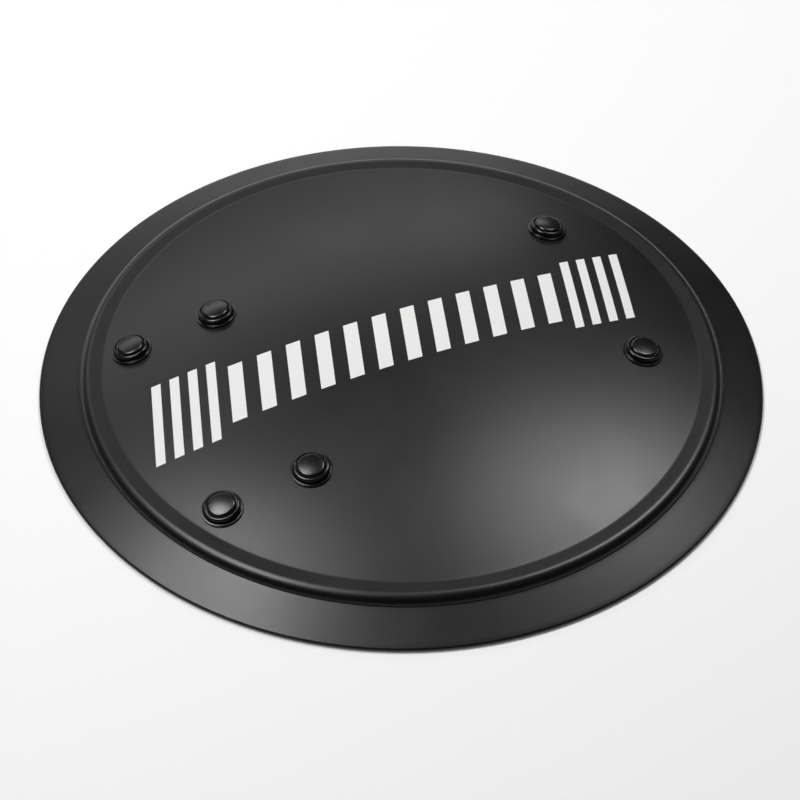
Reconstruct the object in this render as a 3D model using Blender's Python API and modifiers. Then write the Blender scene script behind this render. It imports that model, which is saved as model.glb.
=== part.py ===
"""Round riot shield, lying dome up on its rim.

A disc of steel sheet is pressed with a sloping flange, a step, a level ledge and a shallow dome,
and its edge is rolled into a bead. Six studs go through the dome. Behind it they hold two
webbing straps for the forearm and one for the hand, under washers and nuts.

Units are metres. The origin is on the ground at the middle of the rim, +Z goes up through the
dome, and +X points from the arm straps to the hand strap.
"""

import math

import bmesh
import bpy
from mathutils import Matrix, Vector

# Pressed sheet, with its form given on the upper face from the rim inwards
RIM_RADIUS = 0.295
SHEET = 0.0012
RIM_BEAD_RADIUS = 0.002
RIM_LAND = 0.001
FLANGE_WIDTH = 0.0311
FLANGE_RISE = 0.009
STEP_SLOPE = math.radians(68)
STEP_FOOT_RADIUS = 0.0015
STEP_TOP_RADIUS = 0.009
LEDGE_WIDTH = 0.0094
CREASE_RADIUS = 0.010
DOME_RISE = 0.0257

# Places of the studs: insets run inwards from the dome's edge, spans run across the straps
OUTER_STRAP_INSET = 0.0461
ARM_STRAP_PITCH = 0.0745
HAND_STRAP_INSET = 0.0676
ARM_STUD_SPAN = 0.194
HAND_STUD_SPAN = 0.1675
STUD_ROW_OFFSET = -0.0019

# Studs and what they clamp
SHANK_RADIUS = 0.003
SHANK_PROUD = 0.0015
HEAD_RADIUS = 0.0117
HEAD_HEIGHT = 0.003
HEAD_CROWN = 0.0005
HEAD_EDGE_RADIUS = 0.0027
COLLAR_RADIUS = 0.0165
COLLAR_FOOT_HEIGHT = 0.0012
COLLAR_SHOULDER_RADIUS = 0.0148
COLLAR_HEIGHT = 0.006
COLLAR_ROUNDING = 0.002
COLLAR_SEAT_DEPTH = 0.0018
WASHER_RADIUS = 0.009
WASHER_THICKNESS = 0.0012
NUT_ACROSS_FLATS = 0.010
NUT_HEIGHT = 0.005

# Straps
STRAP_THICKNESS = 0.0025
ARM_STRAP_WIDTH = 0.038
HAND_STRAP_WIDTH = 0.030
STRAP_TAB = 0.015
STRAP_FLAT = 0.013
GROUND_GAP = 0.002

# Gaps between pieces that touch, and round a shank in its hole
SEAT_GAP = 0.0003
HOLE_GAP = 0.0003

# Fineness of the faceted surfaces
SHELL_SIDES = 68
DOME_RINGS = 5
STUD_SIDES = 16
SMALL_SIDES = 12
STRAP_STEPS = 21

HOLE_RADIUS = SHANK_RADIUS + HOLE_GAP
FLANGE_SLOPE = math.atan2(FLANGE_RISE, FLANGE_WIDTH)

# The bead's round section, cut a little flat where it rests
BEAD_R = RIM_RADIUS - RIM_BEAD_RADIUS
BEAD_Z = math.sqrt(RIM_BEAD_RADIUS**2 - (RIM_LAND / 2) ** 2)
FLANGE_EDGE_R = BEAD_R + RIM_BEAD_RADIUS * math.sin(FLANGE_SLOPE)
FLANGE_EDGE_Z = BEAD_Z + RIM_BEAD_RADIUS * math.cos(FLANGE_SLOPE)


def arc_run(radius, start, end):
    """(width, rise) of an arc of the sheet whose slope goes from start to end."""
    turn = 1 if end > start else -1
    width = turn * radius * (math.sin(end) - math.sin(start))
    rise = turn * radius * (math.cos(start) - math.cos(end))
    return width, rise


FOOT_WIDTH, FOOT_RISE = arc_run(STEP_FOOT_RADIUS, FLANGE_SLOPE, STEP_SLOPE)
ROUNDING_WIDTH, ROUNDING_RISE = arc_run(STEP_TOP_RADIUS, STEP_SLOPE, 0)
DOME_EDGE = FLANGE_EDGE_R - FLANGE_WIDTH - FOOT_WIDTH - ROUNDING_WIDTH - LEDGE_WIDTH
DOME_SLOPE = 2 * math.atan2(DOME_RISE, DOME_EDGE)
DOME_RADIUS = DOME_EDGE / math.sin(DOME_SLOPE) - CREASE_RADIUS
DOME_TOP = FLANGE_EDGE_Z + FLANGE_RISE + FOOT_RISE + ROUNDING_RISE + DOME_RISE
DOME_CENTRE = DOME_TOP - DOME_RADIUS

# Depths below the dome's upper face, in order along a shank
STRAP_DEPTH = SHEET + SEAT_GAP
WASHER_DEPTH = STRAP_DEPTH + STRAP_THICKNESS + SEAT_GAP
NUT_DEPTH = WASHER_DEPTH + WASHER_THICKNESS + SEAT_GAP
SHANK_DEPTH = NUT_DEPTH + NUT_HEIGHT + SHANK_PROUD


class Section:
    """The sheet's half section, drawn from the bead inwards along a face at a depth in the sheet."""

    def __init__(self, depth):
        self.depth = depth
        self.slope = FLANGE_SLOPE
        above = RIM_BEAD_RADIUS - depth
        self.in_bead = math.sqrt(RIM_BEAD_RADIUS**2 - above**2)
        self.r = BEAD_R + above * math.sin(self.slope) - self.in_bead * math.cos(self.slope)
        self.z = BEAD_Z + above * math.cos(self.slope) + self.in_bead * math.sin(self.slope)
        self.points = [(self.r, self.z)]

    def straight(self, length):
        self.r -= length * math.cos(self.slope)
        self.z += length * math.sin(self.slope)
        self.points.append((self.r, self.z))

    def bend(self, radius, slope, steps):
        """An arc of the given radius on the upper face, up to the new slope."""
        rises = slope > self.slope
        face_radius = radius + self.depth if rises else radius - self.depth
        first = self.slope
        for step in range(1, steps + 1):
            nxt = first + (slope - first) * step / steps
            width, rise = arc_run(face_radius, self.slope, nxt)
            self.r -= width
            self.z += rise
            self.slope = nxt
            self.points.append((self.r, self.z))


def sheet_face(depth):
    """(radius, height) points of one face of the sheet, from the bead to the axis."""
    section = Section(depth)
    section.straight(FLANGE_WIDTH / math.cos(FLANGE_SLOPE) - section.in_bead)
    section.bend(STEP_FOOT_RADIUS, STEP_SLOPE, 1)
    section.bend(STEP_TOP_RADIUS, 0, 3)
    section.straight(LEDGE_WIDTH)
    section.bend(CREASE_RADIUS, DOME_SLOPE, 2)
    section.bend(DOME_RADIUS, 0, DOME_RINGS)
    section.points[-1] = (0, section.z)
    return section.points


def clear_scene():
    for obj in list(bpy.data.objects):
        bpy.data.objects.remove(obj, do_unlink=True)


def collection(name):
    made = bpy.data.collections.new(name)
    bpy.context.scene.collection.children.link(made)
    return made


def material(name, colour, roughness, metallic=0.0):
    made = bpy.data.materials.new(name)
    made.use_nodes = True
    shader = made.node_tree.nodes["Principled BSDF"]
    shader.inputs["Base Color"].default_value = (*colour, 1)
    shader.inputs["Roughness"].default_value = roughness
    shader.inputs["Metallic"].default_value = metallic
    return made


def outline_mesh(name, outline, closed):
    """A mesh of edges alone, in the XZ plane, for a Screw modifier to turn."""
    points = [(r, 0, z) for r, z in outline]
    edges = [(i, i + 1) for i in range(len(points) - 1)]
    if closed:
        edges.append((len(points) - 1, 0))
    mesh = bpy.data.meshes.new(name)
    mesh.from_pydata(points, edges, [])
    return mesh


def turned(mesh, name, sides, surface, place, group):
    """An object that turns the outline mesh about Z."""
    if not mesh.materials:
        mesh.materials.append(surface)
    obj = bpy.data.objects.new(name, mesh)
    obj.matrix_world = place
    group.objects.link(obj)
    screw = obj.modifiers.new("turn", "SCREW")
    screw.axis = "Z"
    screw.steps = sides
    screw.render_steps = sides
    screw.use_merge_vertices = True
    screw.merge_threshold = 0.0001
    screw.use_smooth_shade = True
    return obj


def on_dome(x, y):
    """Where a piece sits on the dome: its own Z is the dome's normal, with zero on the upper face."""
    across = math.asin(y / DOME_RADIUS)
    along = math.asin(x / (DOME_RADIUS * math.cos(across)))
    turn = Matrix.Rotation(along, 4, "Y") @ Matrix.Rotation(-across, 4, "X")
    return Matrix.Translation((0, 0, DOME_CENTRE)) @ turn @ Matrix.Translation((0, 0, DOME_RADIUS))


def drill(obj, cutter):
    cut = obj.modifiers.new("hole", "BOOLEAN")
    cut.operation = "DIFFERENCE"
    cut.solver = "EXACT"
    cut.object = cutter


def make_cutter(number, place, group):
    """One drill for each stud: it goes through the shell, the strap's end and the nut."""
    above = COLLAR_HEIGHT
    below = SHANK_DEPTH
    mesh = bpy.data.meshes.new(f"drill_{number}")
    bm = bmesh.new()
    bmesh.ops.create_cone(
        bm,
        cap_ends=True,
        segments=SMALL_SIDES,
        radius1=HOLE_RADIUS,
        radius2=HOLE_RADIUS,
        depth=above + below,
    )
    bmesh.ops.translate(bm, verts=bm.verts, vec=(0, 0, (above - below) / 2))
    bm.to_mesh(mesh)
    bm.free()
    cutter = bpy.data.objects.new(f"drill_{number}", mesh)
    cutter.matrix_world = place
    cutter.hide_render = True
    cutter.display_type = "WIRE"
    group.objects.link(cutter)
    return cutter


def on_bead(turn):
    """(radius, height) on the bead's round section, at a turn outwards from its top in degrees."""
    angle = math.radians(turn)
    return BEAD_R + RIM_BEAD_RADIUS * math.sin(angle), BEAD_Z + RIM_BEAD_RADIUS * math.cos(angle)


def make_shell(cutters, group):
    land = [(BEAD_R + RIM_LAND / 2, 0), (BEAD_R - RIM_LAND / 2, 0)]
    bead = [on_bead(53), on_bead(90), *land, on_bead(250)]
    outline = sheet_face(0)[::-1] + bead + sheet_face(SHEET)
    mesh = outline_mesh("shell", outline, closed=False)
    black = material("black_powder_coat", (0.006, 0.006, 0.006), 0.35)
    shell = turned(mesh, "shell", SHELL_SIDES, black, Matrix.Identity(4), group)
    for cutter in cutters:
        drill(shell, cutter)
    return shell


def rounded_corner(r, z, radius, steps):
    """Points of a quarter round that turns a level top into an upright side, ending at (r, z)."""
    turns = [math.pi / 2 * step / steps for step in range(steps + 1)]
    return [(r - radius + radius * math.sin(t), z + radius * math.cos(t)) for t in turns]


def collar_outline():
    """A foot, a rounded shoulder and a sunk seat for the head, round a bore."""
    base = SEAT_GAP
    foot = base + COLLAR_FOOT_HEIGHT
    shoulder = rounded_corner(COLLAR_SHOULDER_RADIUS, COLLAR_HEIGHT - COLLAR_ROUNDING, COLLAR_ROUNDING, 2)
    seat = COLLAR_HEIGHT - COLLAR_SEAT_DEPTH
    return [
        (HOLE_RADIUS, seat),
        (HEAD_RADIUS + HOLE_GAP, seat),
        *shoulder,
        (COLLAR_SHOULDER_RADIUS, foot),
        (COLLAR_RADIUS, foot - COLLAR_FOOT_HEIGHT / 2),
        (COLLAR_RADIUS, base),
        (HOLE_RADIUS, base),
    ]


def stud_outline():
    """A crowned head with a rounded edge, and its shank."""
    seat = COLLAR_HEIGHT - COLLAR_SEAT_DEPTH + SEAT_GAP
    brim = seat + HEAD_HEIGHT - HEAD_EDGE_RADIUS
    edge = rounded_corner(HEAD_RADIUS, brim, HEAD_EDGE_RADIUS, 3)
    crown_radius = HEAD_RADIUS - HEAD_EDGE_RADIUS
    crown = [
        (crown_radius * share, seat + HEAD_HEIGHT + HEAD_CROWN * (1 - share**2))
        for share in (0, 0.5)
    ]
    return [
        *crown,
        *edge,
        (HEAD_RADIUS, seat),
        (SHANK_RADIUS, seat),
        (SHANK_RADIUS, -SHANK_DEPTH),
        (0, -SHANK_DEPTH),
    ]


def washer_outline():
    return [
        (HOLE_RADIUS, -WASHER_DEPTH),
        (WASHER_RADIUS, -WASHER_DEPTH),
        (WASHER_RADIUS, -WASHER_DEPTH - WASHER_THICKNESS),
        (HOLE_RADIUS, -WASHER_DEPTH - WASHER_THICKNESS),
    ]


def nut_mesh(surface):
    mesh = bpy.data.meshes.new("nut")
    corner = NUT_ACROSS_FLATS / 2 / math.cos(math.pi / 6)
    bm = bmesh.new()
    bmesh.ops.create_cone(
        bm, cap_ends=True, segments=6, radius1=corner, radius2=corner, depth=NUT_HEIGHT
    )
    bmesh.ops.translate(bm, verts=bm.verts, vec=(0, 0, -NUT_DEPTH - NUT_HEIGHT / 2))
    bm.to_mesh(mesh)
    bm.free()
    mesh.materials.append(surface)
    return mesh


def make_studs(places, cutters, group):
    gloss = material("black_gloss_moulding", (0.006, 0.006, 0.006), 0.24)
    zinc = material("zinc_plated_steel", (0.56, 0.57, 0.58), 0.34, 1.0)
    collar = outline_mesh("collar", collar_outline(), closed=True)
    stud = outline_mesh("stud", stud_outline(), closed=False)
    washer = outline_mesh("washer", washer_outline(), closed=True)
    nut = nut_mesh(zinc)
    for number, (place, cutter) in enumerate(zip(places, cutters), start=1):
        turned(collar, f"collar_{number}", STUD_SIDES, gloss, place, group)
        turned(stud, f"stud_{number}", STUD_SIDES, gloss, place, group)
        turned(washer, f"washer_{number}", SMALL_SIDES, zinc, place, group)
        body = bpy.data.objects.new(f"nut_{number}", nut)
        body.matrix_world = place
        group.objects.link(body)
        drill(body, cutter)


def strap_bow(x, width):
    """How far a strap can stand off the shell at its middle and still clear the ground."""
    tilt = math.asin(abs(x) / DOME_RADIUS)
    lowest = GROUND_GAP - DOME_CENTRE + width / 2 * math.sin(tilt)
    return DOME_RADIUS - STRAP_DEPTH - STRAP_THICKNESS - lowest / math.cos(tilt)


def make_strap(name, x, span, width, surface, cutters, group):
    """A strap clamped flat to the shell at both ends and bowed off it between them."""
    bow = strap_bow(x, width)
    clamped = (span / 2 - STRAP_FLAT) / DOME_RADIUS
    end = (span / 2 + STRAP_TAB) / DOME_RADIUS
    mesh = bpy.data.meshes.new(name)
    bm = bmesh.new()
    bmesh.ops.create_grid(bm, x_segments=2, y_segments=STRAP_STEPS, size=1)
    for vert in bm.verts:
        turn = vert.co.y * end
        share = min(abs(turn) / clamped, 1)
        gap = bow * (1 + math.cos(math.pi * share)) / 2
        sideways = vert.co.x * width / 2 / DOME_RADIUS
        direction = Vector((sideways, math.sin(turn), math.cos(turn))).normalized()
        vert.co = direction * (DOME_RADIUS - STRAP_DEPTH - gap)
    bm.to_mesh(mesh)
    bm.free()
    mesh.shade_smooth()
    mesh.materials.append(surface)
    strap = bpy.data.objects.new(name, mesh)
    strap.matrix_world = on_dome(x, STUD_ROW_OFFSET) @ Matrix.Translation((0, 0, -DOME_RADIUS))
    group.objects.link(strap)
    solidify = strap.modifiers.new("webbing", "SOLIDIFY")
    solidify.thickness = STRAP_THICKNESS
    solidify.offset = -1
    solidify.use_even_offset = True
    for cutter in cutters:
        drill(strap, cutter)


def build():
    clear_scene()
    shield = collection("riot_shield")
    drills = collection("cutters")
    outer = OUTER_STRAP_INSET - DOME_EDGE
    inner = outer + ARM_STRAP_PITCH
    hand = DOME_EDGE - HAND_STRAP_INSET
    rows = [(outer, ARM_STUD_SPAN), (inner, ARM_STUD_SPAN), (hand, HAND_STUD_SPAN)]
    places = [on_dome(x, STUD_ROW_OFFSET + side * span / 2) for x, span in rows for side in (1, -1)]
    cutters = [make_cutter(i, place, drills) for i, place in enumerate(places, start=1)]
    make_shell(cutters, shield)
    make_studs(places, cutters, shield)
    webbing = material("black_webbing", (0.022, 0.022, 0.024), 0.85)
    make_strap("arm_strap_outer", *rows[0], ARM_STRAP_WIDTH, webbing, cutters[0:2], shield)
    make_strap("arm_strap_inner", *rows[1], ARM_STRAP_WIDTH, webbing, cutters[2:4], shield)
    make_strap("hand_strap", *rows[2], HAND_STRAP_WIDTH, webbing, cutters[4:6], shield)


build()
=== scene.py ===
"""Round riot shield, lying dome up on a pale floor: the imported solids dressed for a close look.

Units are metres in the part's own frame: +Z goes up through the dome and +X points from the arm
straps to the hand strap. The finer pieces below take the places of the solids that they name.
"""

import math

import bmesh
import bpy
from mathutils import Matrix, Vector


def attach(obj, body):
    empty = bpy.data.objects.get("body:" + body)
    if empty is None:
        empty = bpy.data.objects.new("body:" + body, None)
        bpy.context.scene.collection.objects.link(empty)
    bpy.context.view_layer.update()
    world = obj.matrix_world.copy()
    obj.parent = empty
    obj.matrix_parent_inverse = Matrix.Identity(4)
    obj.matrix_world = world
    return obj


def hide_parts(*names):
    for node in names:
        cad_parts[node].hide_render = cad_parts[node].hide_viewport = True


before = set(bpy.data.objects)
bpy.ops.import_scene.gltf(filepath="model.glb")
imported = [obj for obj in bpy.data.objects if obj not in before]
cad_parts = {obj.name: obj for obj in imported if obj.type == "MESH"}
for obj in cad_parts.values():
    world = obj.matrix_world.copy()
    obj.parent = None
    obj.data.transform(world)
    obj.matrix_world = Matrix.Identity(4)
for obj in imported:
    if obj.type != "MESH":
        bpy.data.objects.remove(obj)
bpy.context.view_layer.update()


# The shell
#
# One disc of 1.2 mm steel sheet, pressed in a single hit: a sloping flange, a round step, a narrow
# ledge and a shallow dome. Its edge is rolled into a bead. It is drilled for six studs, though this
# mesh leaves the holes out, and it is powder coated black all over.

RIM_RADIUS = 0.295
SHEET = 0.0012
RIM_BEAD_RADIUS = 0.002
RIM_LAND = 0.001
FLANGE_WIDTH = 0.0311
FLANGE_RISE = 0.009
STEP_SLOPE = math.radians(68)
STEP_FOOT_RADIUS = 0.0015
STEP_TOP_RADIUS = 0.009
LEDGE_WIDTH = 0.0094
CREASE_RADIUS = 0.010
DOME_RISE = 0.0257

# The press leaves the ledge dipping a little towards the dome. A short straight wall in the step
# makes up for the dip, so that the dome keeps its own place.
LEDGE_DIP = math.radians(2.5)
STEP_LEAN = 1 / math.tan(STEP_SLOPE)
BEND_RADII = STEP_TOP_RADIUS + CREASE_RADIUS
BENDS_DROP = BEND_RADII * (1 - math.cos(LEDGE_DIP))
LEDGE_SPAN = LEDGE_WIDTH - BEND_RADII * math.sin(LEDGE_DIP) - STEP_LEAN * BENDS_DROP
LEDGE_RUN = LEDGE_SPAN / (math.cos(LEDGE_DIP) + STEP_LEAN * math.sin(LEDGE_DIP))
STEP_WALL = (BENDS_DROP + LEDGE_RUN * math.sin(LEDGE_DIP)) / math.sin(STEP_SLOPE)

FLANGE_SLOPE = math.atan2(FLANGE_RISE, FLANGE_WIDTH)
BEAD_R = RIM_RADIUS - RIM_BEAD_RADIUS
BEAD_Z = math.sqrt(RIM_BEAD_RADIUS**2 - (RIM_LAND / 2) ** 2)


def on_bead(turn):
    """(radius, height) on the bead's round section, at a turn outwards from its top."""
    return BEAD_R + RIM_BEAD_RADIUS * math.sin(turn), BEAD_Z + RIM_BEAD_RADIUS * math.cos(turn)


def arc_run(radius, start, end):
    """(width, rise) of an arc of the sheet whose slope goes from start to end."""
    turn = 1 if end > start else -1
    width = turn * radius * (math.sin(end) - math.sin(start))
    rise = turn * radius * (math.cos(start) - math.cos(end))
    return width, rise


foot_width, foot_rise = arc_run(STEP_FOOT_RADIUS, FLANGE_SLOPE, STEP_SLOPE)
rounding_width, rounding_rise = arc_run(STEP_TOP_RADIUS, STEP_SLOPE, 0)
flange_r, flange_z = on_bead(FLANGE_SLOPE)
DOME_EDGE = flange_r - FLANGE_WIDTH - foot_width - rounding_width - LEDGE_WIDTH
DOME_SLOPE = 2 * math.atan2(DOME_RISE, DOME_EDGE)
DOME_RADIUS = DOME_EDGE / math.sin(DOME_SLOPE) - CREASE_RADIUS
DOME_CENTRE = flange_z + FLANGE_RISE + foot_rise + rounding_rise + DOME_RISE - DOME_RADIUS


def pressed_line():
    """(radius, height, slope) along the sheet's upper face, from the bead to the middle."""
    line = [(flange_r, flange_z, FLANGE_SLOPE)]

    def straight(length, steps):
        for _ in range(steps):
            r, z, slope = line[-1]
            run = length / steps
            line.append((r - run * math.cos(slope), z + run * math.sin(slope), slope))

    def bend(radius, slope, steps):
        first = line[-1][2]
        for step in range(1, steps + 1):
            r, z, last = line[-1]
            new = first + (slope - first) * step / steps
            width, rise = arc_run(radius, last, new)
            line.append((r - width, z + rise, new))

    straight(FLANGE_WIDTH / math.cos(FLANGE_SLOPE), 8)
    bend(STEP_FOOT_RADIUS, STEP_SLOPE, 8)
    straight(STEP_WALL, 1)
    bend(STEP_TOP_RADIUS, -LEDGE_DIP, 18)
    straight(LEDGE_RUN, 3)
    bend(CREASE_RADIUS, DOME_SLOPE, 6)
    bend(DOME_RADIUS, 0, 34)
    return line


def skin(name, rings, closed, sharp_degrees=35):
    """A mesh over rows of points, each row a closed ring, or one point where the mesh ends."""
    mesh = bpy.data.meshes.new(name)
    bm = bmesh.new()
    rows = [[bm.verts.new(point) for point in ring] for ring in rings]
    pairs = list(zip(rows, rows[1:]))
    if closed:
        pairs.append((rows[-1], rows[0]))
    for upper, lower in pairs:
        for side in range(max(len(upper), len(lower))):
            loop = [upper[side % len(upper)], lower[side % len(lower)]]
            loop += [lower[(side + 1) % len(lower)], upper[(side + 1) % len(upper)]]
            bm.faces.new(dict.fromkeys(loop))
    for row in (rows[0], rows[-1]):
        if not closed and len(row) > 1:
            bm.faces.new(row)
    bmesh.ops.recalc_face_normals(bm, faces=bm.faces)
    bm.to_mesh(mesh)
    bm.free()
    mesh.shade_smooth()
    mesh.set_sharp_from_angle(angle=math.radians(sharp_degrees))
    return mesh


# An outline's point this near the axis is the mesh's tip
ON_AXIS = 1e-7


def lathe(name, outline, sides, closed):
    """A mesh that turns an outline of (radius, height) points about Z."""
    turns = [math.tau * side / sides for side in range(sides)]
    rings = []
    for r, z in outline:
        ring = [(r * math.cos(t), r * math.sin(t), z) for t in turns]
        rings.append(ring if r > ON_AXIS else [(0, 0, z)])
    return skin(name, rings, closed)


def on_dome(x, y):
    """Where a piece sits on the dome: its own Z is the dome's normal, zero on the upper face."""
    across = math.asin(y / DOME_RADIUS)
    along = math.asin(x / (DOME_RADIUS * math.cos(across)))
    turn = Matrix.Rotation(along, 4, "Y") @ Matrix.Rotation(-across, 4, "X")
    return Matrix.Translation((0, 0, DOME_CENTRE)) @ turn @ Matrix.Translation((0, 0, DOME_RADIUS))


def show(name, mesh, finish, stands_for, place=None):
    """Puts a piece in the scene, in its finish, riding on the shield in place of its solid."""
    piece = bpy.data.objects.new(name, mesh)
    if place is not None:
        piece.matrix_world = place
    bpy.context.scene.collection.objects.link(piece)
    if not mesh.materials:
        mesh.materials.append(finish.material)
    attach(piece, "root")
    if stands_for:
        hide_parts(stands_for)
    return piece


class Signal:
    """An output of a shader node, so that sums on it can be written as sums."""

    def __init__(self, finish, socket):
        self.finish = finish
        self.socket = socket

    def sum(self, operation, *others):
        values = dict(enumerate((self, *others)))
        return self.finish.node("Math", {"operation": operation}, values)

    def __add__(self, other):
        return self.sum("ADD", other)

    def __radd__(self, other):
        return self.sum("ADD", other)

    def __sub__(self, other):
        return self.sum("SUBTRACT", other)

    def __rsub__(self, other):
        return self.finish.node("Math", {"operation": "SUBTRACT"}, {0: other, 1: self})

    def __mul__(self, other):
        return self.sum("MULTIPLY", other)

    def __rmul__(self, other):
        return self.sum("MULTIPLY", other)

    def __truediv__(self, other):
        return self.sum("DIVIDE", other)

    def __mod__(self, other):
        return self.sum("FLOORED_MODULO", other)

    def __abs__(self):
        return self.sum("ABSOLUTE")

    def least(self, other):
        return self.sum("MINIMUM", other)

    def most(self, other):
        return self.sum("MAXIMUM", other)

    def rise(self, low, high):
        """0 below low and 1 above high, with a smooth slope between."""
        settings = {"interpolation_type": "SMOOTHSTEP"}
        values = {"Value": self, "From Min": low, "From Max": high}
        return self.finish.node("MapRange", settings, values)


class Finish:
    """A material, with a method that adds any node to it."""

    def __init__(self, name, **shader_values):
        self.material = bpy.data.materials.new(name)
        self.material.use_nodes = True
        self.tree = self.material.node_tree
        self.shader = self.tree.nodes["Principled BSDF"]
        self.wear(**shader_values)

    def feed(self, socket, value):
        if isinstance(value, Signal):
            self.tree.links.new(value.socket, socket)
        else:
            socket.default_value = value

    def node(self, kind, settings, values, output=0):
        made = self.tree.nodes.new("ShaderNode" + kind)
        for setting, value in settings.items():
            setattr(made, setting, value)
        for socket, value in values.items():
            self.feed(made.inputs[socket], value)
        return Signal(self, made.outputs[output])

    def place(self):
        """Object coordinates, which are metres in the piece's own frame."""
        return self.node("TexCoord", {}, {}, "Object")

    def parts(self, vector):
        """The X, Y and Z of a vector."""
        split = self.node("SeparateXYZ", {}, {"Vector": vector}).socket.node
        return [Signal(self, output) for output in split.outputs]

    def noise(self, where, size, detail=2.0, roughness=0.5):
        """Noise about 0.5, whose blotches are about the given size across."""
        values = {"Vector": where, "Scale": 1 / size, "Detail": detail, "Roughness": roughness}
        return self.node("TexNoise", {}, values)

    def mix(self, factor, first, second):
        """A blend of two colours."""
        values = {"Factor": factor, 6: first, 7: second}
        return self.node("Mix", {"data_type": "RGBA"}, values, 2)

    def bump(self, height, distance, under=None):
        """A normal that follows a height of 0 to 1 over a real distance."""
        values = {"Height": height, "Distance": distance}
        if under is not None:
            values["Normal"] = under
        return self.node("Bump", {}, values)

    def wear(self, **values):
        """Sets the shader's own sockets, or feeds them with signals."""
        for socket, value in values.items():
            self.feed(self.shader.inputs[socket.replace("_", " ").title()], value)


def grey(value):
    return (value, value, value, 1)


# The coat: satin black with the faint orange peel of baked powder, and a soft drift in its gloss
coat = Finish("black_powder_coat")
where = coat.place()
drift = coat.noise(where, size=0.060, detail=3.0)
specks = coat.noise(where, size=0.0016)
peel = coat.noise(where, size=0.0012, detail=1.0)
shade = coat.mix(specks.rise(0.35, 0.70), grey(0.0025), grey(0.0055))
coat_roughness = 0.320 + 0.03 * drift.rise(0.3, 0.7) + 0.02 * specks.rise(0.35, 0.7)
PEEL_HEIGHT = 0.000006

# The marking: one row of plain white slanted bars, screen printed across the dome
MARK_TURN = math.radians(-1.56)
MARK_MIDDLE = -0.0004
MARK_SLANT = math.tan(math.radians(17))
MARK_INK = (0.90, 0.90, 0.89, 1)
MARK_ROUGHNESS = 0.42
MARK_THICKNESS = 0.00006
MARK_EDGE = 0.00025
# Each block: first bar's left side, last bar's right side, bars, bar's width, height
MARK_BLOCKS = [
    (-0.2135, -0.1585, 4, 0.0082, 0.081),
    (-0.1485, 0.1395, 12, 0.0125, 0.059),
    (0.1495, 0.2045, 4, 0.0082, 0.081),
]

along_x, along_y, _ = coat.parts(where)
along = along_x * math.cos(MARK_TURN) + along_y * math.sin(MARK_TURN)
height = along_y * math.cos(MARK_TURN) - along_x * math.sin(MARK_TURN) - MARK_MIDDLE
slid = along - height * MARK_SLANT
depth = None
for left, right, bars, width, tall in MARK_BLOCKS:
    pitch = (right - left - width) / (bars - 1)
    in_bar = width / 2 - abs((slid - left) % pitch - width / 2)
    in_block = (right - left) / 2 - abs(slid - (left + right) / 2)
    in_height = tall / 2 - abs(height)
    bar = in_bar.least(in_block).least(in_height)
    depth = bar if depth is None else depth.most(bar)
# The ink is on the face that looks up, and not on the sheet's back
_, _, upward = coat.parts(coat.node("TexCoord", {}, {}, "Normal"))
ink = depth.rise(0, MARK_EDGE) * upward.rise(0, 0.1)

coat.wear(
    base_color=coat.mix(ink, shade, MARK_INK),
    roughness=coat_roughness * (1 - ink) + MARK_ROUGHNESS * ink,
    normal=coat.bump(ink, MARK_THICKNESS, coat.bump(peel, PEEL_HEIGHT)),
)

# The outline goes from the middle out along the upper face, round the bead and back underneath
BEAD_STEPS = 14
upper = pressed_line()
lower = [(r - SHEET * math.sin(s), z - SHEET * math.cos(s)) for r, z, s in upper]
half_land = math.asin(RIM_LAND / 2 / RIM_BEAD_RADIUS)
meets_sheet = FLANGE_SLOPE - math.acos(1 - SHEET / RIM_BEAD_RADIUS)
outer_arc = (FLANGE_SLOPE, math.pi - half_land)
inner_arc = (math.pi + half_land, math.tau + meets_sheet)
bead = []
for first, last in (outer_arc, inner_arc):
    for step in range(BEAD_STEPS + 1):
        bead.append(on_bead(first + (last - first) * step / BEAD_STEPS))
outline = [(r, z) for r, z, _ in upper][::-1] + bead[1:] + lower[1:]
outline[0] = (0, outline[0][1])
outline[-1] = (0, outline[-1][1])
shell_mesh = lathe("shell", outline, sides=360, closed=False)
show("pressed_shell", shell_mesh, coat, "shell")


# The stud collars
#
# Six glossy black moulded rings, one under each stud's head on the dome. Each has a thin foot, a
# rounded shoulder and a sunk seat that the head is pulled down into.

HOLE_RADIUS = 0.0033
SEAT_GAP = 0.0003
HEAD_RADIUS = 0.0117
COLLAR_RADIUS = 0.0165
COLLAR_FOOT_HEIGHT = 0.0012
COLLAR_SHOULDER_RADIUS = 0.0148
COLLAR_HEIGHT = 0.006
COLLAR_ROUNDING = 0.002
COLLAR_SEAT_DEPTH = 0.0018
SEAT_ROOM = 0.0007
MOUTH_ROOM = 0.0008
MOUTH_ROUNDING = 0.00025
FOOT_FILLET = 0.0006
FOOT_ROUNDING = 0.0002

# Where the studs are: a pair for each strap, whose place along X is set from the dome's edge
OUTER_STRAP_INSET = 0.0461
ARM_STRAP_PITCH = 0.0745
HAND_STRAP_INSET = 0.0676
ROW_Y = -0.0019
ARM_SPAN = 0.194
HAND_SPAN = 0.1675
OUTER_STRAP_X = OUTER_STRAP_INSET - DOME_EDGE
INNER_STRAP_X = OUTER_STRAP_X + ARM_STRAP_PITCH
HAND_STRAP_X = DOME_EDGE - HAND_STRAP_INSET
stud_rows = [(OUTER_STRAP_X, ARM_SPAN), (INNER_STRAP_X, ARM_SPAN), (HAND_STRAP_X, HAND_SPAN)]
stud_places = [on_dome(x, ROW_Y + side * span / 2) for x, span in stud_rows for side in (1, -1)]

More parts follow.
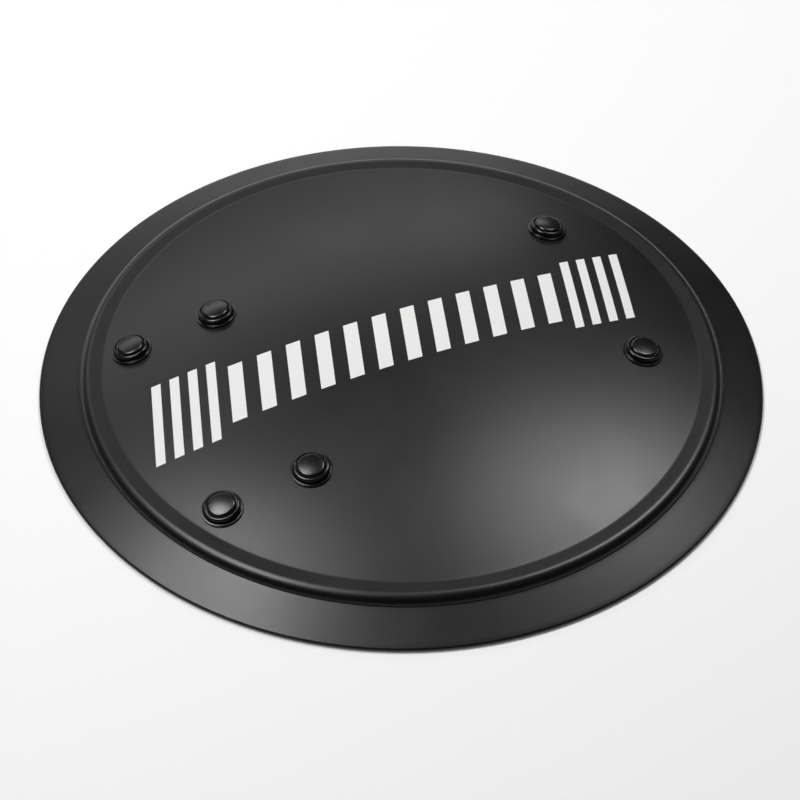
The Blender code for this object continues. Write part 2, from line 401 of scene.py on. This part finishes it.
moulding = Finish("black_gloss_moulding")
where = moulding.place()
swirl = moulding.noise(where, size=0.004, detail=3.0)
grain = moulding.noise(where, size=0.0005, detail=1.0)
GRAIN_HEIGHT = 0.000004
moulding.wear(
    base_color=moulding.mix(swirl.rise(0.3, 0.7), grey(0.004), grey(0.007)),
    roughness=0.22 + 0.05 * swirl.rise(0.35, 0.75),
    normal=moulding.bump(grain, GRAIN_HEIGHT),
)


EASED_STEPS = 5


def eased(outline, roundings):
    """The outline with some corners rounded: roundings gives a radius for each corner's index."""
    points = []
    for i, corner in enumerate(outline):
        radius = roundings.get(i)
        if radius is None:
            points.append(corner)
            continue
        here = Vector(corner)
        before = (Vector(outline[i - 1]) - here).normalized()
        after = (Vector(outline[(i + 1) % len(outline)]) - here).normalized()
        half = before.angle(after) / 2
        reach = radius / math.tan(half)
        middle = here + (before + after).normalized() * (radius / math.sin(half))
        start = here + before * reach - middle
        end = here + after * reach - middle
        for step in range(EASED_STEPS + 1):
            arm = start.lerp(end, step / EASED_STEPS).normalized() * radius
            points.append(tuple(middle + arm))
    return points


# The dome falls away under the foot, so the foot's underside is a hair below the dome's top
foot_down = -COLLAR_RADIUS**2 / 2 / DOME_RADIUS
foot = SEAT_GAP + COLLAR_FOOT_HEIGHT
seat = COLLAR_HEIGHT - COLLAR_SEAT_DEPTH
collar_outline = eased(
    [
        (HOLE_RADIUS, seat),
        (HEAD_RADIUS + SEAT_ROOM, seat),
        (HEAD_RADIUS + MOUTH_ROOM, COLLAR_HEIGHT),
        (COLLAR_SHOULDER_RADIUS, COLLAR_HEIGHT),
        (COLLAR_SHOULDER_RADIUS, foot),
        (COLLAR_RADIUS, foot),
        (COLLAR_RADIUS, foot_down),
        (HOLE_RADIUS, foot_down),
    ],
    {2: MOUTH_ROUNDING, 3: COLLAR_ROUNDING, 4: FOOT_FILLET, 5: FOOT_ROUNDING},
)
collar_mesh = lathe("collar", collar_outline, sides=96, closed=True)
for number, place in enumerate(stud_places, start=1):
    name, solid = f"stud_collar_{number}", f"collar_{number}"
    show(name, collar_mesh, moulding, solid, place)


# The studs
#
# Six broad gently crowned heads in the same glossy black, moulded on steel bolts. Each bolt runs
# down through its collar, the sheet and a strap end, and shows its threaded tip below the nut.

SHANK_RADIUS = 0.003
SHANK_PROUD = 0.0015
HEAD_HEIGHT = 0.003
HEAD_CROWN = 0.0005
HEAD_EDGE_RADIUS = 0.0027
STRAP_THICKNESS = 0.0025
WASHER_THICKNESS = 0.0012
NUT_HEIGHT = 0.005
THREAD_PITCH = 0.001
THREAD_DEPTH = 0.0005
TIP_CHAMFER_WIDTH = 0.0003
TIP_CHAMFER_HEIGHT = 0.0001
CROWN_STEPS = 12
EDGE_STEPS = 10

STRAP_DEPTH = SHEET + SEAT_GAP
WASHER_DEPTH = STRAP_DEPTH + STRAP_THICKNESS + SEAT_GAP
NUT_DEPTH = WASHER_DEPTH + WASHER_THICKNESS + SEAT_GAP
SHANK_DEPTH = NUT_DEPTH + NUT_HEIGHT + SHANK_PROUD

head_seat = seat + SEAT_GAP
brim = head_seat + HEAD_HEIGHT - HEAD_EDGE_RADIUS
crown_radius = HEAD_RADIUS - HEAD_EDGE_RADIUS
head_outline = []
for step in range(CROWN_STEPS + 1):
    share = step / CROWN_STEPS
    height = head_seat + HEAD_HEIGHT + HEAD_CROWN * (1 - share**2)
    head_outline.append((crown_radius * share, height))
for step in range(1, EDGE_STEPS + 1):
    turn = math.pi / 2 * step / EDGE_STEPS
    outwards = HEAD_EDGE_RADIUS * math.sin(turn)
    head_outline.append((crown_radius + outwards, brim + HEAD_EDGE_RADIUS * math.cos(turn)))
head_outline += [(HEAD_RADIUS, seat), (0, seat)]
head_mesh = lathe("stud", head_outline, sides=96, closed=False)

zinc = Finish("zinc_plated_steel", metallic=1.0)
where = zinc.place()
bloom = zinc.noise(where, size=0.006, detail=3.0)
drawn_out = zinc.node("Mapping", {}, {"Vector": where, "Scale": (1, 14, 1)})
scratches = zinc.noise(drawn_out, size=0.003)
SCRATCH_DEPTH = 0.000008
zinc.wear(
    base_color=zinc.mix(bloom.rise(0.3, 0.7), (0.50, 0.52, 0.55, 1), (0.64, 0.65, 0.66, 1)),
    roughness=0.26 + 0.14 * bloom.rise(0.3, 0.7) + 0.10 * scratches.rise(0.4, 0.7),
    normal=zinc.bump(scratches, SCRATCH_DEPTH),
)

# The plain shank, then rounds of thread down to a chamfered tip
shank_outline = [(0, seat), (SHANK_RADIUS, seat)]
thread_z = -STRAP_DEPTH
while thread_z - THREAD_PITCH > -SHANK_DEPTH + THREAD_DEPTH:
    shank_outline.append((SHANK_RADIUS, thread_z))
    shank_outline.append((SHANK_RADIUS - THREAD_DEPTH, thread_z - THREAD_PITCH / 2))
    thread_z -= THREAD_PITCH
tip = SHANK_RADIUS - THREAD_DEPTH
shank_outline += [
    (SHANK_RADIUS, thread_z),
    (tip, -SHANK_DEPTH + TIP_CHAMFER_HEIGHT),
    (tip - TIP_CHAMFER_WIDTH, -SHANK_DEPTH),
    (0, -SHANK_DEPTH),
]
shank_mesh = lathe("shank", shank_outline, sides=48, closed=False)
for number, place in enumerate(stud_places, start=1):
    solid = f"stud_{number}"
    show(f"stud_head_{number}", head_mesh, moulding, solid, place)
    show(f"stud_shank_{number}", shank_mesh, zinc, solid, place)


# The straps
#
# Three lengths of flat black polyester webbing, heat cut at their ends and clamped under a stud at
# each end: two for the forearm and a narrower one for the hand. Each bows down from the shell.

ARM_STRAP_WIDTH = 0.038
HAND_STRAP_WIDTH = 0.030
STRAP_TAB = 0.015
STRAP_FLAT = 0.013
GROUND_GAP = 0.002
STRAP_EDGE = 0.0011
CUT_CORNER = 0.002
CUT_EDGE = 0.0008
CUT_THINNING = 0.35
STRAP_RINGS = 200

webbing = Finish("black_webbing", sheen_weight=0.25, sheen_roughness=0.5)
where = webbing.place()
over, lengthwise, _ = webbing.parts(where)
# The weave: columns of ribs along the strap, each half a yarn out of step with its neighbour
WEAVE_COLUMN = 0.0013
WEAVE_ROW = 0.0019
WEAVE_HEIGHT = 0.00035
FUZZ_HEIGHT = 0.00008
column = over / WEAVE_COLUMN
in_column = column % 1
in_row = (lengthwise / WEAVE_ROW + (column % 2 - in_column) * 0.5) % 1
yarn = 4 * in_column * (1 - in_column) * (0.35 + 2.6 * in_row * (1 - in_row))
fuzz = webbing.noise(where, size=0.0007, detail=3.0, roughness=0.7)
handling = webbing.noise(where, size=0.020, detail=3.0)
worn = handling.rise(0.45, 0.85) * 0.35
# Painted shade: the colour runs from near black in the gaps between yarns to a lighter grey on each
# yarn's crown, following the weave's height
weave_with_painted_shade = webbing.mix(yarn * (0.6 + 0.4 * fuzz), grey(0.005), (0.026, 0.026, 0.028, 1))
webbing.wear(
    base_color=webbing.mix(worn, weave_with_painted_shade, (0.040, 0.039, 0.038, 1)),
    roughness=0.68 + 0.16 * fuzz,
    normal=webbing.bump(yarn, WEAVE_HEIGHT, webbing.bump(fuzz, FUZZ_HEIGHT)),
)

thread = Finish("black_thread", sheen_weight=0.2)
where = thread.place()
wound = thread.node("Mapping", {}, {"Vector": where, "Scale": (6, 1, 1)})
twist = thread.noise(wound, size=0.0012, detail=1.0)
TWIST_HEIGHT = 0.00008
thread.wear(
    base_color=thread.mix(twist.rise(0.3, 0.7), grey(0.018), grey(0.045)),
    roughness=0.50 + 0.15 * twist,
    normal=thread.bump(twist, TWIST_HEIGHT),
)


# How far before and after a place its slope is taken, as a share of the strap's half
NEARBY = 0.002


def strap_curve(x, width, span):
    """Two functions of the share of the way from a strap's middle to its end, and its half length.

    They give a point on its upper face, and the way down through it, in the strap's own frame.
    """
    tilt = math.asin(abs(x) / DOME_RADIUS)
    lowest = GROUND_GAP - DOME_CENTRE + width / 2 * math.sin(tilt)
    bow = DOME_RADIUS - STRAP_DEPTH - STRAP_THICKNESS - lowest / math.cos(tilt)
    clamped = (span / 2 - STRAP_FLAT) / DOME_RADIUS
    end = (span / 2 + STRAP_TAB) / DOME_RADIUS

    def point(share, across=0.0):
        turn = share * end
        gap = bow * (1 + math.cos(math.pi * min(abs(turn) / clamped, 1))) / 2
        direction = Vector((across / DOME_RADIUS, math.sin(turn), math.cos(turn))).normalized()
        return direction * (DOME_RADIUS - STRAP_DEPTH - gap)

    def down(share):
        along = point(share + NEARBY) - point(share - NEARBY)
        return Vector((1, 0, 0)).cross(along).normalized() * -1

    return point, down, end * DOME_RADIUS


def webbing_mesh(name, x, width, span):
    """The strap's flat rounded section, swept along its curve and drawn in at its cut ends."""
    point, down, half = strap_curve(x, width, span)
    rings = []
    for step in range(STRAP_RINGS + 1):
        # The rings crowd together towards the ends
        even = step / STRAP_RINGS
        share = -math.cos(math.pi * even) * 0.5 + (2 * even - 1) * 0.5
        from_end = half * (1 - abs(share))
        corner = max(CUT_CORNER - from_end, 0)
        side = width / 2 - CUT_CORNER + math.sqrt(CUT_CORNER**2 - corner**2)
        thin = max(CUT_EDGE - from_end, 0) / CUT_EDGE * CUT_THINNING
        radius = STRAP_EDGE * (1 - thin)
        middle = STRAP_THICKNESS / 2
        half_depth = middle * (1 - thin)
        section = []
        for selvedge in (1, -1):
            for bit in range(9):
                turn = math.pi / 2 - math.pi * bit / 8
                across = side - radius + radius * math.cos(turn)
                deep = middle - selvedge * half_depth * math.sin(turn)
                section.append((selvedge * across, deep))
        rings.append([point(share, across) + down(share) * deep for across, deep in section])
    return skin(name, rings, closed=False, sharp_degrees=60)


# Rows of stitches, by how far each is beyond a stud or short of it
STITCH_ROWS = (0.0117, -0.0117, -0.0140)
STITCH_PITCH = 0.0030
STITCH_HALF = 0.00115
STITCH_RADIUS = 0.00026
STITCH_ARCH = 0.00016
STITCH_PROUD = 0.00005


def stitch_mesh(name, x, width, span):
    """Rows of short thread bars across the strap, on both sides of each washer."""
    point, down, half = strap_curve(x, width, span)
    mesh = bpy.data.meshes.new(name)
    bm = bmesh.new()
    rows = [side * (span / 2 + beyond) for side in (1, -1) for beyond in STITCH_ROWS]
    count = int(width / STITCH_PITCH)
    for row in rows:
        for index in range(count):
            across = (index - (count - 1) / 2) * STITCH_PITCH
            share = row / half
            middle = point(share, across) + down(share) * (STRAP_THICKNESS + STITCH_PROUD)
            ends = []
            for bit in range(7):
                turn = math.pi * bit / 6
                reach = -STITCH_HALF * math.cos(turn)
                lift = down(share) * STITCH_ARCH * math.sin(turn)
                radius = STITCH_RADIUS * max(math.sin(turn), 0.25) ** 0.5
                ring = []
                for side in range(8):
                    around = math.tau * side / 8
                    offset = Vector((0, math.cos(around), math.sin(around))) * radius
                    ring.append(bm.verts.new(middle + Vector((reach, 0, 0)) + offset + lift))
                ends.append(ring)
            for first, second in zip(ends, ends[1:]):
                for side in range(8):
                    nxt = (side + 1) % 8
                    bm.faces.new((first[side], second[side], second[nxt], first[nxt]))
            bm.faces.new(ends[0])
            bm.faces.new(ends[-1])
    bmesh.ops.recalc_face_normals(bm, faces=bm.faces)
    bm.to_mesh(mesh)
    bm.free()
    mesh.shade_smooth()
    return mesh


straps = [
    ("arm_strap_outer", OUTER_STRAP_X, ARM_STRAP_WIDTH, ARM_SPAN),
    ("arm_strap_inner", INNER_STRAP_X, ARM_STRAP_WIDTH, ARM_SPAN),
    ("hand_strap", HAND_STRAP_X, HAND_STRAP_WIDTH, HAND_SPAN),
]
for strap, x, width, span in straps:
    place = on_dome(x, ROW_Y) @ Matrix.Translation((0, 0, -DOME_RADIUS))
    band = webbing_mesh(strap, x, width, span)
    show(f"{strap}_webbing", band, webbing, strap, place)
    stitches = stitch_mesh(f"{strap}_stitches", x, width, span)
    show(f"{strap}_stitching", stitches, thread, None, place)


# The washers
#
# Six stamped steel washers, zinc plated, one under each nut at the shell's back. Each spreads its
# nut's pull over a strap end.

WASHER_RADIUS = 0.009
WASHER_EDGE = 0.00025
WASHER_BORE_EDGE = 0.0002

washer_top = -STRAP_DEPTH - STRAP_THICKNESS
washer_foot = -WASHER_DEPTH - WASHER_THICKNESS
washer_outline = eased(
    [
        (HOLE_RADIUS, washer_top),
        (WASHER_RADIUS, washer_top),
        (WASHER_RADIUS, washer_foot),
        (HOLE_RADIUS, washer_foot),
    ],
    {1: WASHER_EDGE, 2: WASHER_EDGE, 3: WASHER_BORE_EDGE},
)
washer_mesh = lathe("washer", washer_outline, sides=96, closed=True)
for number, place in enumerate(stud_places, start=1):
    name, solid = f"washer_ring_{number}", f"washer_{number}"
    show(name, washer_mesh, zinc, solid, place)


# The nuts
#
# Six plain hexagon nuts of zinc plated steel, chamfered at both faces. Each is run up tight on its
# washer and clamps a strap end to the shell.

NUT_ACROSS_FLATS = 0.010
NUT_FACE_RADIUS = 0.00475
NUT_CHAMFER = math.tan(math.radians(30))
NUT_PLAY = 0.0002
NUT_SIDES = 72

nut_top = -NUT_DEPTH + SEAT_GAP
nut_foot = -NUT_DEPTH - NUT_HEIGHT
nut_bore = SHANK_RADIUS + NUT_PLAY
nut_rings = [[], [], [], [], [], []]
for side in range(NUT_SIDES):
    turn = math.tau * side / NUT_SIDES
    from_flat = (turn + math.pi / 6) % (math.pi / 3) - math.pi / 6
    outside = NUT_ACROSS_FLATS / 2 / math.cos(from_flat)
    drop = (outside - NUT_FACE_RADIUS) * NUT_CHAMFER
    outline = [
        (nut_bore, nut_top),
        (NUT_FACE_RADIUS, nut_top),
        (outside, nut_top - drop),
        (outside, nut_foot + drop),
        (NUT_FACE_RADIUS, nut_foot),
        (nut_bore, nut_foot),
    ]
    for ring, (r, z) in zip(nut_rings, outline):
        ring.append((r * math.cos(turn), r * math.sin(turn), z))
nut_mesh = skin("nut", nut_rings, closed=True, sharp_degrees=20)
for number, place in enumerate(stud_places, start=1):
    name, solid = f"hexagon_nut_{number}", f"nut_{number}"
    show(name, nut_mesh, zinc, solid, place)


# The floor and the light
#
# A pale light table is the floor, lit a little from beneath. Two soft boxes stand high up to the
# left and the right, a wide panel hangs beyond them over a low white wall, and a dim wall faces it.

FLOOR_REACH = 6.0
FLOOR_GLOW = 0.13

floor_finish = Finish("studio_floor", base_color=grey(0.91), roughness=0.7)
floor_finish.wear(emission_color=grey(1.0), emission_strength=FLOOR_GLOW)
floor_mesh = bpy.data.meshes.new("floor")
corners = [(x * FLOOR_REACH, y * FLOOR_REACH, 0) for x, y in ((-1, -1), (1, -1), (1, 1), (-1, 1))]
floor_mesh.from_pydata(corners, [], [(0, 1, 2, 3)])
floor_mesh.materials.append(floor_finish.material)
floor = bpy.data.objects.new("studio_floor", floor_mesh)
bpy.context.scene.collection.objects.link(floor)

VIEW_AZIMUTH = math.radians(-25.46)
VIEW_ELEVATION = math.radians(44.50)
VIEW_ROLL = math.radians(-0.38)
VIEW_AIM = Vector((-0.0137, -0.0265, 0))
VIEW_DISTANCE = 2.0
VIEW_SENSOR = 36
VIEW_LENS = 110.93
LAMP_DISTANCE = 2.6

right = Vector((math.cos(VIEW_AZIMUTH), math.sin(VIEW_AZIMUTH), 0))
away = Vector((-math.sin(VIEW_AZIMUTH), math.cos(VIEW_AZIMUTH), 0))


def soft_box(name, toward, wide, tall, tilt, brightness):
    """A rectangular lamp in a direction given as (right, away from the camera, up)."""
    data = bpy.data.lights.new(name, "AREA")
    data.shape = "RECTANGLE"
    data.size = wide
    data.size_y = tall
    # Power goes with the area, so that one brightness looks the same on a lamp of any size
    data.energy = 4 * wide * tall * brightness
    direction = right * toward[0] + away * toward[1] + Vector((0, 0, toward[2]))
    lamp = bpy.data.objects.new(name, data)
    lamp.location = direction.normalized() * LAMP_DISTANCE
    aimed = direction.to_track_quat("Z", "Y").to_matrix()
    lamp.rotation_euler = (aimed @ Matrix.Rotation(math.radians(tilt), 3, "Z")).to_euler()
    bpy.context.scene.collection.objects.link(lamp)


soft_box("left_box", (-0.389, 0.062, 0.919), wide=1.57, tall=0.75, tilt=-9.8, brightness=9.13)
soft_box("right_box", (0.350, 0.395, 0.849), wide=0.57, tall=0.87, tilt=-34.5, brightness=11.36)
soft_box("far_panel", (-0.207, 0.828, 0.521), wide=2.34, tall=0.50, tilt=15.1, brightness=1.62)
soft_box("far_wall", (-0.274, 0.958, 0.080), wide=4.24, tall=0.35, tilt=9.0, brightness=1.18)
soft_box("near_wall", (0.100, -0.985, 0.140), wide=4.20, tall=0.55, tilt=0.0, brightness=0.06)

# The room: a low dim wall all round, under a ceiling that is darker still
world = bpy.data.worlds.new("studio")
world.use_nodes = True
nodes = world.node_tree.nodes
links = world.node_tree.links
facing = nodes.new("ShaderNodeTexCoord")
split = nodes.new("ShaderNodeSeparateXYZ")
wall = nodes.new("ShaderNodeMapRange")
room_light = {"From Min": 0.03, "From Max": 0.20, "To Min": 0.04, "To Max": 0.005}
for socket, value in room_light.items():
    wall.inputs[socket].default_value = value
links.new(facing.outputs["Generated"], split.inputs[0])
links.new(split.outputs["Z"], wall.inputs["Value"])
links.new(wall.outputs[0], nodes["Background"].inputs["Strength"])
nodes["Background"].inputs["Color"].default_value = grey(1.0)
bpy.context.scene.world = world
bpy.context.scene.view_settings.view_transform = "Standard"

back = Vector((0, 0, math.sin(VIEW_ELEVATION))) - away * math.cos(VIEW_ELEVATION)
up = back.cross(right)
side = right * math.cos(VIEW_ROLL) - up * math.sin(VIEW_ROLL)
top = right * math.sin(VIEW_ROLL) + up * math.cos(VIEW_ROLL)
camera_data = bpy.data.cameras.new("camera")
camera_data.sensor_width = VIEW_SENSOR
camera_data.lens = VIEW_LENS
camera = bpy.data.objects.new("camera", camera_data)
frame_axes = Matrix((side, top, back)).transposed().to_4x4()
camera.matrix_world = Matrix.Translation(VIEW_AIM + back * VIEW_DISTANCE) @ frame_axes
bpy.context.scene.collection.objects.link(camera)
bpy.context.scene.camera = camera
